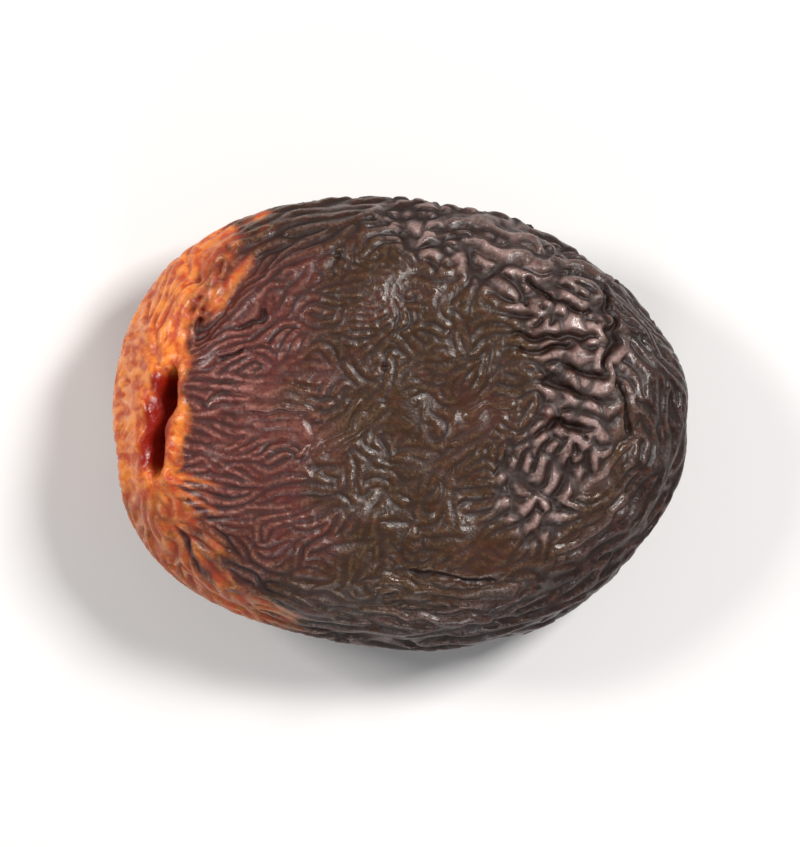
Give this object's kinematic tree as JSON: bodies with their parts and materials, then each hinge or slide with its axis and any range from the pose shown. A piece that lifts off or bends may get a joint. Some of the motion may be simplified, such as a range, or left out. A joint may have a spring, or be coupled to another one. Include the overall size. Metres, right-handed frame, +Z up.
{
  "type": "dried apricot",
  "caption": "Whole sun-dried apricot, pitted and dark brown: a flattened oval fruit with wrinkled skin and a lipped slit at the stem end. Rests flat.",
  "frame": {"origin": "under the middle of the fruit's outline, on the surface that the fruit rests on", "axes": "+X along the fruit's length, from the stem end with its slit towards the tip; +Y across its width; +Z up, through its flattened thickness"},
  "size_m": [0.0382, 0.0304, 0.0131],
  "materials": {
    "dried_skin": "satin"
  },
  "bodies": {
    "root": {"apricot": "dried_skin"}
  },
  "joints": []
}
